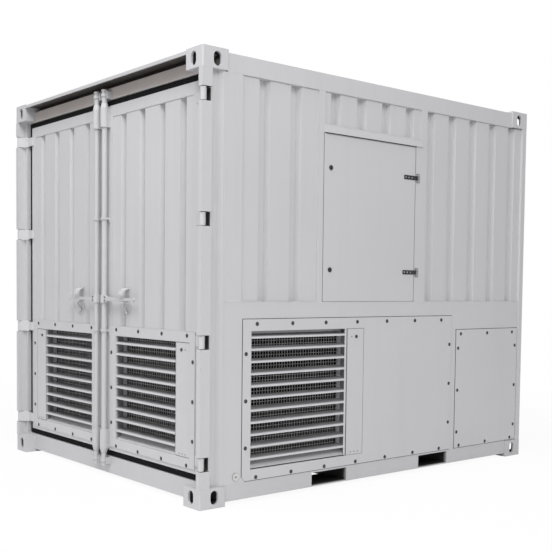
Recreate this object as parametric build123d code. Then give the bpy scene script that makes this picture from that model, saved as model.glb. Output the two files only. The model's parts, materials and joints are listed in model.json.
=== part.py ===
from build123d import *
import os

# Generator load bank in a ten-foot freight-container frame.
# Origin: middle of the footprint at ground level. +Z up, doors face -Y, control side faces +X.

# ---- driving dimensions (mm) ----
WIDTH, LENGTH, HEIGHT = 2438.0, 2991.0, 2591.0
HW, HL = WIDTH / 2, LENGTH / 2
CAST_X, CAST_Y, CAST_Z, CAST_T = 162.0, 178.0, 118.0, 16.0
SLOT_W, SLOT_H = 51.0, 80.0
LOCK_L, LOCK_W = 124.0, 63.5
SHEET = 3.0
RUN = 0.05                     # radial running clearance of pins and bars
SIDE = HW - 8.0                # outer plane of side rails and flush flats
CORR = SIDE - 8.0              # outer plane of the corrugated sheets
CORR_DEPTH, CORR_SLOPE = 36.0, 18.0
CORR_W, CORR_PITCH = 82.0, 226.5
WALL_Y0, WALL_Y1 = -HL + 165.5, HL - 55.5
BASE_Z0, BASE_Z1 = 25.0, 119.0
BAND_Z = 1175.0                # foot of the corrugated sheets
TOP_Z0, TOP_Z1 = HEIGHT - 122.0, HEIGHT - 16.0
ROOF_Z = HEIGHT - 18.0
RAIL_W = 60.0
POST_X = HW - 89.0             # inner face of the rear posts
POST_Z0, POST_Z1 = CAST_Z, HEIGHT - CAST_Z
FORK_GAP, FORK_W, FORK_T = 688.0, 300.0, 6.0
FORK = [(-FORK_GAP / 2 - FORK_W, -FORK_GAP / 2), (FORK_GAP / 2, FORK_GAP / 2 + FORK_W)]

# doors
DOOR_X0, DOOR_X1 = 8.0, HW - 119.0
DOOR_Z0, DOOR_Z1 = 175.0, HEIGHT - 164.0
SILL_Z1, HEAD_Z0 = DOOR_Z0 - 41.0, DOOR_Z1 + 40.0
DOOR_Y0 = -HL + 74.0           # outer face of the doors
DOOR_T = 50.0
DOOR_Y1 = DOOR_Y0 + DOOR_T
PANEL_X0, PANEL_X1 = 105.0, DOOR_X1 - 73.0
PANEL_Z0, PANEL_Z1 = 1000.0, DOOR_Z1 - 72.0
COV_X1 = DOOR_X1 - 94.0
COV_X0 = COV_X1 - 138.0
LV_X0, LV_X1, LV_Z0, LV_Z1 = 160.0, COV_X0 - 6.0, 258.0, 935.0
LVF_X0, LVF_X1, LVF_Z0, LVF_Z1 = 80.0, DOOR_X1 - 35.0, 200.0, 997.0
DOOR_BLADES, BLADE_PITCH = 9, 71.6
BLADE_DEPTH, BLADE_RISE = 46.0, 14.0
DOOR_BLADE_Z = 315.0
SCREEN_BACK = 40.0

# hinges
HINGE_X, HINGE_Y = HW - 19.0, -HL + 19.0
HINGE_Z0, HINGE_Z1, HINGES = DOOR_Z0 + 83.0, DOOR_Z1 - 98.0, 4
HINGE_Z = [HINGE_Z0 + i * (HINGE_Z1 - HINGE_Z0) / (HINGES - 1) for i in range(HINGES)]
PIN_R, KNUCKLE_R, KNUCKLE_H, NOTCH_H = 8.0, 17.0, 74.0, 80.0
STRAP_T, STRAP_X0 = 12.0, LVF_X1 + 3.0

# lock bars
BAR_X, BAR_Y, BAR_R = 50.0, -HL + 45.0, 17.0
BAR_Z0, BAR_Z1 = 76.0, HEIGHT - 61.0
CAM_T, CAM_R = 16.0, 23.0
CAM_Z = [100.0, HEIGHT - 105.0]
SLEEVE_R, SLEEVE_H, TAPER_H = 27.0, 125.0, 30.0
HANDLE_Z, HANDLE_TIP = 1174.0, 440.0

# right side panels
PANEL_T = 4.0
SP_Y0, SP_Z0, SP_Z1 = WALL_Y0 + 135.0, 127.0, 1075.0
AP_Y1, AP_Z0, AP_Z1 = WALL_Y1 - 6.0, 127.0, 975.0
AP_Y0 = AP_Y1 - 714.0
SP_Y1 = AP_Y0 - 55.0
SL_Y0, SL_Z0, SL_Z1 = SP_Y0 + 62.0, 197.0, 1005.0
SL_Y1 = SL_Y0 + 768.0
SC_Y0 = SL_Y1 + 10.0
SC_Y1 = SC_Y0 + 144.0
SIDE_BLADES, SIDE_BLADE_Z = 11, 251.0
EARTH_Y, EARTH_Z, EARTH_R = WALL_Y0 + 90.0, 161.0, 5.1

# control door
CD_Y0, CD_Z0, CD_Z1 = -HL + 922.5, BAND_Z + 4.0, HEIGHT - 376.0
CD_Y1 = CD_Y0 + 833.0
CD_GAP, CD_T = 4.0, 25.0
BAY_Y0, BAY_Y1, BAY_Z1 = CD_Y0 - 48.0, CD_Y1 + 115.0, CD_Z1 + 56.0
CH_X, CH_Y, CH_R = SIDE + 2.5, CD_Y1 + 16.0, 5.5
CH_Z = [CD_Z0 + 194.0, CD_Z1 - 208.0]
LATCH_Y, LATCH_Z, LATCH_R = CD_Y0 + 56.0, [CD_Z0 + 196.0, CD_Z1 - 208.0], 11.0
CAB_X0, CAB_X1 = SIDE - 361.0, SIDE - 40.0
CAB_T = 3.0
PLATE_X = SIDE - 126.0         # front of the control plate

# fan and duct
FAN_X, FAN_Y, FAN_R = -100.0, -HL + 1195.5, 595.0
DUCT = FAN_R + 185.0           # half side of the duct
DUCT_Z0, DUCT_Z1 = 1240.0, HEIGHT - 35.0
DUCT_X0, DUCT_X1, DUCT_Y0, DUCT_Y1 = FAN_X - DUCT, FAN_X + DUCT, FAN_Y - DUCT, FAN_Y + DUCT
TRAY_H, TRAY_STEP = 150.0, 250.0
TRAY_Z = [z for z in (DUCT_Z0 + 450.0 + TRAY_STEP * i for i in range(9)) if z + 2 * TRAY_H < DUCT_Z1]
RIBBONS, RIBBON_PITCH, RIBBON_T = 8, 180.0, 6.0


# ---- helpers ----
def bx(x0, x1, y0, y1, z0, z1):
    box = Box(x1 - x0, y1 - y0, z1 - z0)
    return Pos((x0 + x1) / 2, (y0 + y1) / 2, (z0 + z1) / 2) * box


def cz(x, y, r, z0, z1):
    return Pos(x, y, (z0 + z1) / 2) * Cylinder(r, z1 - z0)


def cx(y, z, r, x0, x1):
    return Pos((x0 + x1) / 2, y, z) * Rot(0, 90, 0) * Cylinder(r, x1 - x0)


def cy(x, z, r, y0, y1):
    return Pos(x, (y0 + y1) / 2, z) * Rot(90, 0, 0) * Cylinder(r, y1 - y0)


def pz(pts, z0, z1):
    face = make_face(Polyline([(p[0], p[1], z0) for p in pts], close=True))
    return extrude(face, z1 - z0, dir=(0, 0, 1))


def px(pts, x0, x1):
    face = make_face(Polyline([(x0, p[0], p[1]) for p in pts], close=True))
    return extrude(face, x1 - x0, dir=(1, 0, 0))


def py(pts, y0, y1):
    face = make_face(Polyline([(p[0], y0, p[1]) for p in pts], close=True))
    return extrude(face, y1 - y0, dir=(0, 1, 0))


def flip(shape):
    return mirror(shape, about=Plane.YZ)


def flip_y(shape):
    return mirror(shape, about=Plane.XZ)


def flip_z(shape):
    return mirror(shape, about=Plane.XY.offset(HEIGHT / 2))


def solids(items):
    out = []
    for item in items:
        out.extend(item.solids())
    return Compound(children=out)


def recesses(first, last, width, pitch):
    out = []
    start = first
    while start + width <= last:
        out.append((start, start + width))
        start += pitch
    return out


def fold(u0, u1, rows, outer, depth, slope):
    path = [(u0, outer)]
    for a, b in rows:
        path.append((a, outer))
        path.append((a + slope, outer - depth))
        path.append((b - slope, outer - depth))
        path.append((b, outer))
    path.append((u1, outer))
    back = [(u, v - SHEET) for u, v in reversed(path)]
    return path + back


def slot_z(x, y, length, width, z0, z1):
    half = (length - width) / 2
    body = bx(x - width / 2, x + width / 2, y - half, y + half, z0, z1)
    body += cz(x, y - half, width / 2, z0, z1)
    body += cz(x, y + half, width / 2, z0, z1)
    return body


def slot_x(y, z, height, width, x0, x1):
    half = (height - width) / 2
    body = bx(x0, x1, y - width / 2, y + width / 2, z - half, z + half)
    body += cx(y, z - half, width / 2, x0, x1)
    body += cx(y, z + half, width / 2, x0, x1)
    return body


def slot_y(x, z, height, width, y0, y1):
    half = (height - width) / 2
    body = bx(x - width / 2, x + width / 2, y0, y1, z - half, z + half)
    body += cy(x, z - half, width / 2, y0, y1)
    body += cy(x, z + half, width / 2, y0, y1)
    return body


# ---- container frame ----
def one_casting():
    x0, y0 = HW - CAST_X, -HL
    y1 = y0 + CAST_Y
    body = bx(x0, HW, y0, y1, 0, CAST_Z)
    body = fillet(body.edges().filter_by(Axis.Z).sort_by(Axis.X)[-2:].sort_by(Axis.Y)[0:1], 10)
    body -= bx(x0 + CAST_T, HW - CAST_T, y0 + CAST_T, y1 - CAST_T, 28, CAST_Z - CAST_T)
    xc, yc, zc = HW - 89.0, y0 + 101.5, 62.0
    body -= slot_z(HW - CAST_X / 2, y0 + CAST_Y / 2, LOCK_L, LOCK_W, -1, 40)
    body -= slot_x(yc, zc, SLOT_H, SLOT_W, HW - 40, HW + 1)
    body -= slot_y(xc, zc, SLOT_H, SLOT_W, y0 - 1, y0 + 40)
    return body


def corner_castings():
    low = one_casting()
    four = [low, flip(low), flip_y(low), flip(flip_y(low))]
    return solids(four + [flip_z(c) for c in four])


def front_post():
    outer = [(HW, -HL), (HW, -HL + 70), (HW - 34, -HL + 70), (HW - 34, -HL + 124)]
    outer += [(SIDE, -HL + 151), (SIDE, WALL_Y0), (HW - 69, WALL_Y0)]
    outer += [(HW - 69, -HL + 56), (HW - 38, -HL + 56), (HW - 38, -HL)]
    body = pz(outer, POST_Z0, POST_Z1)
    body -= bx(HW - 61, HW - 42, -HL + 90, WALL_Y0 - 8, POST_Z0 + 8, POST_Z1 - 8)
    for z in HINGE_Z:
        body -= bx(HW - 71, HW + 1, -HL - 1, -HL + 80, z - NOTCH_H / 2, z + NOTCH_H / 2)
        body -= cz(HINGE_X, HINGE_Y, PIN_R, z - 75, z + 75)
    return body


def rear_post():
    outer = [(POST_X, HL), (HW - 8, HL), (HW, HL - 8), (HW, HL - 50)]
    outer += [(CORR, WALL_Y1), (POST_X, WALL_Y1)]
    body = pz(outer, POST_Z0, POST_Z1)
    body -= bx(POST_X + 8, CORR - 8, WALL_Y1 + 8, HL - 8, POST_Z0 + 8, POST_Z1 - 8)
    return body


def corner_posts():
    f, r = front_post(), rear_post()
    return solids([f, flip(f), r, flip(r)])


def door_end_rails():
    x, xp = HW - CAST_X, HW - 69
    y0, back = DOOR_Y0, WALL_Y0 - 10
    shelf = HEAD_Z0 + 73
    head = [(y0, HEAD_Z0), (back, HEAD_Z0), (back, HEIGHT - 8), (-HL, HEIGHT - 8), (-HL, HEIGHT - 28)]
    head += [(-HL + 8, HEIGHT - 28), (-HL + 8, ROOF_Z), (y0 + 48, ROOF_Z), (y0 + 24, shelf), (y0, shelf)]
    header = px(head, -x, x)
    header -= bx(-x, x, y0 + 8, back - 8, HEAD_Z0 + 8, shelf - 8)
    header += bx(-xp, xp, y0, back, HEAD_Z0, POST_Z1)
    sill = bx(-x, x, y0, WALL_Y0, 21, SILL_Z1)
    sill -= bx(-x, x, y0 + 8, WALL_Y0 - 8, 29, SILL_Z1 - 8)
    sill += bx(-xp, xp, y0, WALL_Y0, POST_Z0, SILL_Z1)
    return solids([header, sill])


def rear_end_rails():
    x, y1 = HW - CAST_X, HL - 5.5
    parts = []
    for z0, z1 in ((POST_Z1, TOP_Z1), (BASE_Z0, BASE_Z1)):
        rail = bx(-x, x, WALL_Y1, y1, z0, z1)
        rail -= bx(-x, x, WALL_Y1 + 6, y1 - 6, z0 + 6, z1 - 6)
        parts.append(rail)
    return solids(parts)


def top_side_rails():
    y = HL - CAST_Y
    rail = bx(SIDE - RAIL_W, SIDE, -y, y, TOP_Z0, TOP_Z1)
    rail -= bx(SIDE - RAIL_W + 5, SIDE - 5, -y, y, TOP_Z0 + 5, TOP_Z1 - 5)
    return solids([rail, flip(rail)])


def base_rails():
    y = HL - CAST_Y
    ends = [-y]
    for a, b in FORK:
        ends += [a - FORK_T, b + FORK_T]
    ends.append(y)
    parts = []
    for i in range(0, len(ends), 2):
        rail = bx(SIDE - RAIL_W, SIDE, ends[i], ends[i + 1], BASE_Z0, BASE_Z1)
        rail -= bx(SIDE - RAIL_W + 6, SIDE - 6, ends[i] + 6, ends[i + 1] - 6, BASE_Z0 + 6, BASE_Z1 - 6)
        parts += [rail, flip(rail)]
    x = SIDE - RAIL_W
    for c in [WALL_Y0 + 210, WALL_Y0 + 450, -160, 160, WALL_Y1 - 560, WALL_Y1 - 320]:
        beam = bx(-x, x, c - 25, c + 25, BASE_Z0 + 10, BASE_Z1)
        beam -= bx(-x, x, c - 20, c + 26, BASE_Z0 + 15, BASE_Z1 - 5)
        parts.append(beam)
    return solids(parts)


def fork_pockets():
    parts = []
    for a, b in FORK:
        parts.append(bx(-SIDE, SIDE, a - FORK_T, a, BASE_Z0, BASE_Z1))
        parts.append(bx(-SIDE, SIDE, b, b + FORK_T, BASE_Z0, BASE_Z1))
        parts.append(bx(-SIDE, SIDE, a, b, BASE_Z1 - FORK_T, BASE_Z1))
        parts.append(bx(SIDE - 250, SIDE, a, b, BASE_Z0, BASE_Z0 + FORK_T))
        parts.append(bx(-SIDE, 250 - SIDE, a, b, BASE_Z0, BASE_Z0 + FORK_T))
    return solids(parts)


def floor_plate():
    x = SIDE - RAIL_W
    return bx(-x, x, WALL_Y0, WALL_Y1, BASE_Z1, BASE_Z1 + 6)


# ---- walls and roof ----
def wall_sheet(y0, y1, rows, z0, z1):
    pts = fold(y0, y1, rows, CORR, CORR_DEPTH, CORR_SLOPE)
    return pz([(v, u) for u, v in pts], z0, z1)


def flush_strip(y0, y1, z0, z1):
    return bx(CORR, SIDE, y0, y1, z0, z1)


def right_wall():
    y2 = SP_Y0 - 10
    front = recesses(WALL_Y0 + 250, BAY_Y0 - 120, CORR_W, 240)
    over = recesses(CD_Y0 + 58, BAY_Y1 - 120, CORR_W, CORR_PITCH)
    rear = recesses(BAY_Y1 + 2, WALL_Y1 - 60, CORR_W, CORR_PITCH)
    a = wall_sheet(WALL_Y0, BAY_Y0, front, BAND_Z, TOP_Z0)
    a += flush_strip(WALL_Y0, y2, BAND_Z, TOP_Z0)
    b = wall_sheet(BAY_Y0, BAY_Y1, over, BAY_Z1, TOP_Z0)
    b += flush_strip(BAY_Y0, CD_Y0 + 6, BAY_Z1, TOP_Z0)
    b += flush_strip(BAY_Y1 - 60, BAY_Y1, BAY_Z1, TOP_Z0)
    c = wall_sheet(BAY_Y1, WALL_Y1, rear, BAND_Z, TOP_Z0)
    return a + b + c


def left_wall():
    rows = recesses(WALL_Y0 + 250, WALL_Y1 - 60, CORR_W, CORR_PITCH)
    sheet = wall_sheet(WALL_Y0, WALL_Y1, rows, BAND_Z, TOP_Z0)
    sheet += flush_strip(WALL_Y0, SP_Y0 - 10, BAND_Z, TOP_Z0)
    return flip(sheet)


def rear_wall():
    rows = recesses(-HW + 158, HW - 158, CORR_W, CORR_PITCH)
    pts = fold(-POST_X, POST_X, rows, HL - 12.5, CORR_DEPTH, CORR_SLOPE)
    return pz(pts, BASE_Z1, POST_Z1)


def roof_panel():
    x, z0, z1 = SIDE - RAIL_W, ROOF_Z - 4, ROOF_Z
    sheet = bx(-x, x, WALL_Y0 - 10, WALL_Y1, z0, z1)
    sheet -= bx(DUCT_X0, DUCT_X1, DUCT_Y0, DUCT_Y1, z0 - 1, z1 + 1)
    cast = bx(HW - CAST_X, x + 1, HL - CAST_Y, HL, z0 - 1, z1 + 1)
    for corner in (cast, flip(cast), flip_y(cast), flip(flip_y(cast))):
        sheet -= corner
    return sheet


def roof_exhaust_grille():
    z0, z1, bars = DUCT_Z1, HEIGHT - 3, 20
    x0, x1, y0, y1 = DUCT_X0, DUCT_X1, DUCT_Y0, DUCT_Y1
    body = bx(x0, x1, y0, y1, z0, z1) - bx(x0 + 5, x1 - 5, y0 + 5, y1 - 5, z0, z1)
    for i in range(1, bars):
        x = x0 + i * (x1 - x0) / bars
        body += bx(x - 2, x + 2, y0 + 5, y1 - 5, z0 + 2, z1 - 2)
    for f in (0.25, 0.5, 0.75):
        y = y0 + (y1 - y0) * f
        body += bx(x0 + 5, x1 - 5, y - 3, y + 3, z0 + 6, z1 - 6)
    return body


def one_lower_frame():
    body = bx(CORR, SIDE, WALL_Y0, WALL_Y1, BASE_Z1, BAND_Z)
    body -= bx(CORR - 1, SIDE + 1, SL_Y0 - 6, SL_Y1 + 6, SL_Z0 - 6, SL_Z1 + 6)
    for y in (SP_Y0 + 15, SC_Y1 + 151, SC_Y1 + 461, SP_Y1 + 27):
        body += bx(CORR - 40, CORR, y - 20, y + 20, BASE_Z1 + 6, BAND_Z - 60)
    body += bx(CORR - 45, CORR, WALL_Y0, WALL_Y1, BAND_Z - 60, BAND_Z)
    return body


def lower_side_frames():
    right = one_lower_frame()
    left = flip(right)
    right -= bx(CORR - 1, SIDE + 1, AP_Y0 + 45, AP_Y1 - 45, AP_Z0 + 40, AP_Z1 - 45)
    right -= cx(EARTH_Y, EARTH_Z, 22, CORR - 1, SIDE + 1)
    return solids([right, left])


# ---- side louvre panel and its pieces ----
def one_louvre_panel():
    c = 22
    pts = [(SP_Y0 + c, SP_Z0), (SP_Y1, SP_Z0), (SP_Y1, SP_Z1), (SP_Y0, SP_Z1), (SP_Y0, SP_Z0 + c)]
    plate = px(pts, SIDE, SIDE + PANEL_T)
    plate -= bx(SIDE - 1, SIDE + 9, SL_Y0, SC_Y1 + 3, SL_Z0 - 6, SL_Z1)
    return plate


def blade_rows(count, z0, u0, u1, front, inward):
    rows = []
    for i in range(count):
        z = z0 + i * BLADE_PITCH
        deep, lip = front + inward * BLADE_DEPTH, front + inward * 3
        pts = [(front, z - 6), (front, z + 5), (deep, z + 5 + BLADE_RISE)]
        pts += [(deep, z + 2 + BLADE_RISE), (lip, z + 2), (lip, z - 6)]
        rows.append((pts, u0, u1))
    return rows


def one_side_blades():
    front, back = SIDE + PANEL_T - 0.5, SIDE - 48
    body = bx(back, SIDE, SL_Y0 - 3, SL_Y0, SL_Z0, SL_Z1)
    body += bx(back, SIDE, SL_Y1, SL_Y1 + 3, SL_Z0, SL_Z1)
    body += bx(front - 2, front - 0.5, SL_Y1 - 14, SL_Y1, SL_Z0, SL_Z1)
    for pts, a, b in blade_rows(SIDE_BLADES, SIDE_BLADE_Z, SL_Y0, SL_Y1, front, -1):
        body += py(pts, a, b)
    return body


def one_side_screen():
    x1, x0 = SIDE - 48, SIDE - 76
    y0, y1, z0, z1 = SL_Y0 - 3, SL_Y1 + 3, SL_Z0 - 3, SL_Z1 + 3
    body = bx(x0, x1, y0, y1, z0, z1) - bx(x0 - 1, x1 + 1, y0 + 20, y1 - 20, z0 + 20, z1 - 20)
    for i in range(1, 4):
        y = y0 + i * (y1 - y0) / 4
        body += bx(x0, x0 + 5, y - 3, y + 3, z0 + 20, z1 - 20)
    return body


def right_louvre_cover():
    return bx(SIDE, SIDE + 3.5, SC_Y0, SC_Y1, SL_Z0 - 4, SL_Z1 - 2)


def left_louvre_panel():
    return flip(one_louvre_panel())


def side_louvre_blades():
    right = one_side_blades()
    return solids([right, flip(right)])


def side_louvre_screens():
    right = one_side_screen()
    return solids([right, flip(right)])


def right_access_panel():
    return bx(SIDE, SIDE + PANEL_T, AP_Y0, AP_Y1, AP_Z0, AP_Z1)


# ---- control compartment ----
def control_door_frame():
    y0, y1 = CD_Y0 - CD_GAP, CD_Y1 + CD_GAP
    z0, z1 = CD_Z0 - CD_GAP, CD_Z1 + CD_GAP
    x, drip_z = CAB_X1, BAY_Z1 - 9
    body = bx(x, SIDE, BAY_Y0, y0, BAND_Z, BAY_Z1)
    body += bx(x, SIDE, y1, BAY_Y1, BAND_Z, BAY_Z1)
    body += bx(x, SIDE, y0, y1, z1, BAY_Z1)
    drip = [(SIDE, z1), (HW, z1), (HW, z1 + 6), (SIDE + 4, drip_z), (SIDE, drip_z)]
    body += py(drip, CD_Y0 + 6, CD_Y1 + 65)
    body -= bx(x + 5, SIDE - 5, BAY_Y0 + 5, y0 - 5, z0 + 8, BAY_Z1 - 5)
    body -= bx(x + 5, SIDE - 5, y1 + 5, BAY_Y1 - 5, z0 + 8, BAY_Z1 - 5)
    for z in CH_Z:
        body -= cz(CH_X, CH_Y, CH_R + 0.6, z - 31, z + 31)
    return body


def control_door():
    t = 2.5
    body = bx(SIDE - CD_T, SIDE, CD_Y0, CD_Y1, CD_Z0, CD_Z1)
    body = fillet(body.edges().filter_by(Axis.X), 6)
    body -= bx(SIDE - CD_T, SIDE - t, CD_Y0 + t, CD_Y1 - t, CD_Z0 + t, CD_Z1 - t)
    for z in LATCH_Z:
        body -= cx(LATCH_Y, z, LATCH_R + RUN, SIDE - CD_T, SIDE + 1)
        boss = cx(LATCH_Y, z, 16, SIDE - 14, SIDE - t)
        body += boss - cx(LATCH_Y, z, LATCH_R + RUN, SIDE - CD_T, SIDE)
    return body


def control_latch(z):
    body = cx(LATCH_Y, z, LATCH_R, SIDE - 18, SIDE + 0.4)
    head = cx(LATCH_Y, z, 15, SIDE + 0.4, SIDE + 5)
    head -= bx(SIDE + 3, SIDE + 6, LATCH_Y - 2, LATCH_Y + 2, z - 9, z + 9)
    arm = bx(SIDE - 22, SIDE - 18, LATCH_Y - 44, LATCH_Y + 10, z - 9, z + 9)
    return body + head + arm


def control_hinges():
    parts = []
    for z in CH_Z:
        leaf = bx(SIDE, SIDE + 3, CH_Y + 3, CH_Y + 26, z - 30, z + 30)
        leaf -= cz(CH_X, CH_Y, CH_R + 0.6, z - 15, z + 15)
        barrel = cz(CH_X, CH_Y, CH_R, z - 30, z - 15) + cz(CH_X, CH_Y, CH_R, z + 15, z + 30)
        parts.append(leaf + barrel + cz(CH_X, CH_Y, 3, z - 30, z + 30))
    return solids(parts)


def control_door_straps():
    parts = []
    for z in CH_Z:
        barrel = cz(CH_X, CH_Y, CH_R, z - 14.6, z + 14.6)
        strap = bx(SIDE, SIDE + 3.5, CD_Y1 - 110, CD_Y1, z - 14, z + 14)
        strap += bx(SIDE + 0.5, SIDE + 3.5, CD_Y1 - 1, CH_Y, z - 14, z + 14)
        body = barrel + strap
        body -= cz(CH_X, CH_Y, 3 + RUN, z - 20, z + 20)
        parts.append(body)
    return solids(parts)


def control_cabinet():
    t = CAB_T
    y0, y1, z0, z1 = CD_Y0 - 17, CD_Y1 + 17, BAND_Z, CD_Z1 + 15
    body = bx(CAB_X0, CAB_X1, y0, y1, z0, z1)
    body -= bx(CAB_X0 + t, CAB_X1 + 1, y0 + t, y1 - t, z0 + t, z1 - t)
    return body


def control_panel():
    x, y, z = PLATE_X, CD_Y0, CD_Z1
    body = bx(x - 3, x, CD_Y0 - 7, CD_Y1 + 7, CD_Z0 + 6, CD_Z1 + 5)
    body += bx(x, x + 14, y + 93, y + 333, z - 315, z - 135)
    for i in range(5):
        body += cx(y + 423 + i * 80, z - 245, 16, x, x + 12)
    for i in range(8):
        body += bx(x, x + 20, y + 93 + i * 82, y + 143 + i * 82, z - 575, z - 475)
    for side in (y + 73, y + 733):
        for rise in (CD_Z0 + 121, CD_Z1 - 165):
            body += bx(CAB_X0 + CAB_T, x - 3, side, side + 30, rise, rise + 30)
    return body


# ---- door-end fittings on the frame ----
def hinge_pins():
    pins = []
    for z in HINGE_Z:
        pin = cz(HINGE_X, HINGE_Y, PIN_R, z - 70, z + 70)
        pins += [pin, flip(pin)]
    return solids(pins)


def cam_keepers():
    parts = []
    for z in CAM_Z:
        for side in (-1, 1):
            a = BAR_X + side * 35
            cheek = bx(a - 5, a + 5, BAR_Y - 4, DOOR_Y0, z - 16, z + CAM_T + 14)
            parts += [cheek, flip(cheek)]
    return solids(parts)


def earth_boss():
    body = cx(EARTH_Y, EARTH_Z, 22, CORR - 14, SIDE + 7)
    body -= cx(EARTH_Y, EARTH_Z, EARTH_R, SIDE - 15, SIDE + 8)
    return body


# ---- cooling and load parts ----
def air_duct():
    x0, x1, y0, y1 = DUCT_X0, DUCT_X1, DUCT_Y0, DUCT_Y1
    body = bx(x0, x1, y0, y1, DUCT_Z0 + 4, DUCT_Z1)
    body -= bx(x0 + 4, x1 - 4, y0 + 4, y1 - 4, DUCT_Z0, DUCT_Z1 + 1)
    for x in (x0, x1 - 40):
        for y in (y0, y1 - 40):
            body += bx(x, x + 40, y, y + 40, BASE_Z1 + 6, DUCT_Z0)
    return body


def fan_shroud():
    z = DUCT_Z0
    plate = bx(DUCT_X0, DUCT_X1, DUCT_Y0, DUCT_Y1, z, z + 4) - cz(FAN_X, FAN_Y, FAN_R + 10, z - 1, z + 9)
    ring = cz(FAN_X, FAN_Y, FAN_R + 14, z, z + 240)
    ring -= cz(FAN_X, FAN_Y, FAN_R + 10, z - 1, z + 250)
    body = plate + ring
    for a in (45, 135):
        body += Pos(FAN_X, FAN_Y, z + 200) * Rot(0, 0, a) * Box(2 * FAN_R + 21, 50, 10)
    body -= cz(FAN_X, FAN_Y, 150, z + 150, z + 210)
    return body


def fan_motor():
    z, r = DUCT_Z0 + 140, 150
    body = cz(FAN_X, FAN_Y, r, z, z + 90) + cz(FAN_X, FAN_Y, r - 14, z + 90, z + 260)
    for a in range(0, 180, 15):
        body += Pos(FAN_X, FAN_Y, z + 165) * Rot(0, 0, a) * Box(2 * r - 2, 4, 150)
    body += cz(FAN_X, FAN_Y, 19, z - 115, z)
    return body


def fan_impeller():
    z0, z1 = DUCT_Z0 + 30, DUCT_Z0 + 110
    hub = cz(0, 0, 130, z0, z1) - cz(0, 0, 110, z0 - 1, z1 - 12)
    hub += cz(0, 0, 40, z0, z1)
    span = FAN_R - 125
    blade = Pos(FAN_R - 5 - span / 2, 0, (z0 + z1) / 2) * Rot(32, 0, 0) * Box(span, 120, 6)
    parts = hub
    for i in range(8):
        parts += Rot(0, 0, i * 45) * blade
    parts -= cz(0, 0, 19 + RUN, z0 - 1, z1 + 1)
    return Pos(FAN_X, FAN_Y, 0) * parts


def resistor_trays():
    parts = []
    x0, x1, y0, y1 = DUCT_X0 + 4, DUCT_X1 - 4, DUCT_Y0 + 4, DUCT_Y1 - 4
    for z in TRAY_Z:
        tray = bx(x0, x1, y0, y1, z, z + TRAY_H)
        parts.append(tray - bx(x0 + 3, x1 - 3, y0 + 3, y1 - 3, z - 1, z + TRAY_H + 1))
    return solids(parts)


def resistor_ribbon(x0, x1, y, z0, z1):
    folds = 6
    step = (x1 - x0) / folds
    rows = [(x0 + (i + 0.25) * step, x0 + (i + 0.75) * step) for i in range(folds)]
    path = [(x0, y)]
    for a, b in rows:
        path += [(a, y), (a + 20, y + 60), (b - 20, y + 60), (b, y)]
    path.append((x1, y))
    back = [(u, v - RIBBON_T) for u, v in reversed(path)]
    return pz(path + back, z0, z1)


def resistor_elements():
    parts = []
    x0, x1 = DUCT_X0 + 7, DUCT_X1 - 7
    for z in TRAY_Z:
        for i in range(RIBBONS):
            y = FAN_Y - 30 + (i - (RIBBONS - 1) / 2) * RIBBON_PITCH
            parts.append(resistor_ribbon(x0, x1, y, z + 35, z + 115))
    return solids(parts)


def load_busbars():
    parts = []
    x0, x1, y0, y1 = SIDE - 211, SIDE - 181, AP_Y0 + 80, AP_Y1 - 74
    for z in (360, 760):
        parts.append(bx(x0, x1, y0, y1, z, z + 40))
    for i in range(4):
        y = AP_Y0 + 160 + 130 * i
        bar = bx(x1, x1 + 10, y - 40, y + 40, 300, 860)
        for z in (330, 830):
            bar -= cx(y, z, 7, x1 - 1, x1 + 11)
        parts.append(bar)
    for y in (y0, y1 - 30):
        parts.append(bx(x0, x1, y, y + 30, BASE_Z1 + 6, 360))
    return solids(parts)


# ---- one door, drawn on the right-hand side ----
def door_frame():
    body = bx(DOOR_X0, DOOR_X1, DOOR_Y0, DOOR_Y1, DOOR_Z0, DOOR_Z1)
    body -= bx(PANEL_X0, PANEL_X1, DOOR_Y0 - 1, DOOR_Y1 + 1, PANEL_Z0, PANEL_Z1)
    body -= bx(LV_X0, LV_X1, DOOR_Y0 - 1, DOOR_Y1 + 1, LV_Z0, LV_Z1)
    return body


def door_panel():
    rows = recesses(PANEL_X0 + 102, PANEL_X1 - 70, 66, CORR_PITCH)
    pts = fold(PANEL_X0, PANEL_X1, rows, -3, 34, 15)
    return pz([(u, DOOR_Y0 - v) for u, v in pts], PANEL_Z0, PANEL_Z1)


def door_louvre_frame():
    body = bx(LVF_X0, LVF_X1, DOOR_Y0 - 6, DOOR_Y0, LVF_Z0, LVF_Z1)
    body -= bx(LV_X0, COV_X1 + 3, DOOR_Y0 - 9, DOOR_Y0 + 1, LV_Z0, LV_Z1)
    return body


def door_louvre_cover():
    return bx(COV_X0, COV_X1, DOOR_Y0 - 4, DOOR_Y0, LV_Z0 + 3, LV_Z1 - 3)


def door_louvre_blades():
    front, back = DOOR_Y0 - 4, DOOR_Y1
    body = bx(LV_X0, LV_X0 + 3, DOOR_Y0, back, LV_Z0, LV_Z1)
    body += bx(LV_X1 - 3, LV_X1, DOOR_Y0, back, LV_Z0, LV_Z1)
    for pts, a, b in blade_rows(DOOR_BLADES, DOOR_BLADE_Z, LV_X0, LV_X1, front, 1):
        body += px([(p[0], p[1]) for p in pts], a, b)
    return body


def door_louvre_screen():
    x0, x1, z0, z1 = LV_X0 - 8, LV_X1 + 8, LV_Z0 - 8, LV_Z1 + 8
    y0, y1 = DOOR_Y1, DOOR_Y1 + SCREEN_BACK
    body = bx(x0, x1, y0, y1, z0, z1) - bx(x0 + 3, x1 - 3, y0 - 1, y1 + 1, z0 + 3, z1 - 3)
    ring = bx(x0, x1, y1 - 3, y1, z0, z1) - bx(x0 + 20, x1 - 20, y1 - 4, y1 + 1, z0 + 20, z1 - 20)
    body += ring
    for i in range(1, 4):
        x = x0 + i * (x1 - x0) / 4
        body += bx(x - 3, x + 3, y1 - 5, y1, z0 + 3, z1 - 3)
    return body


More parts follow.
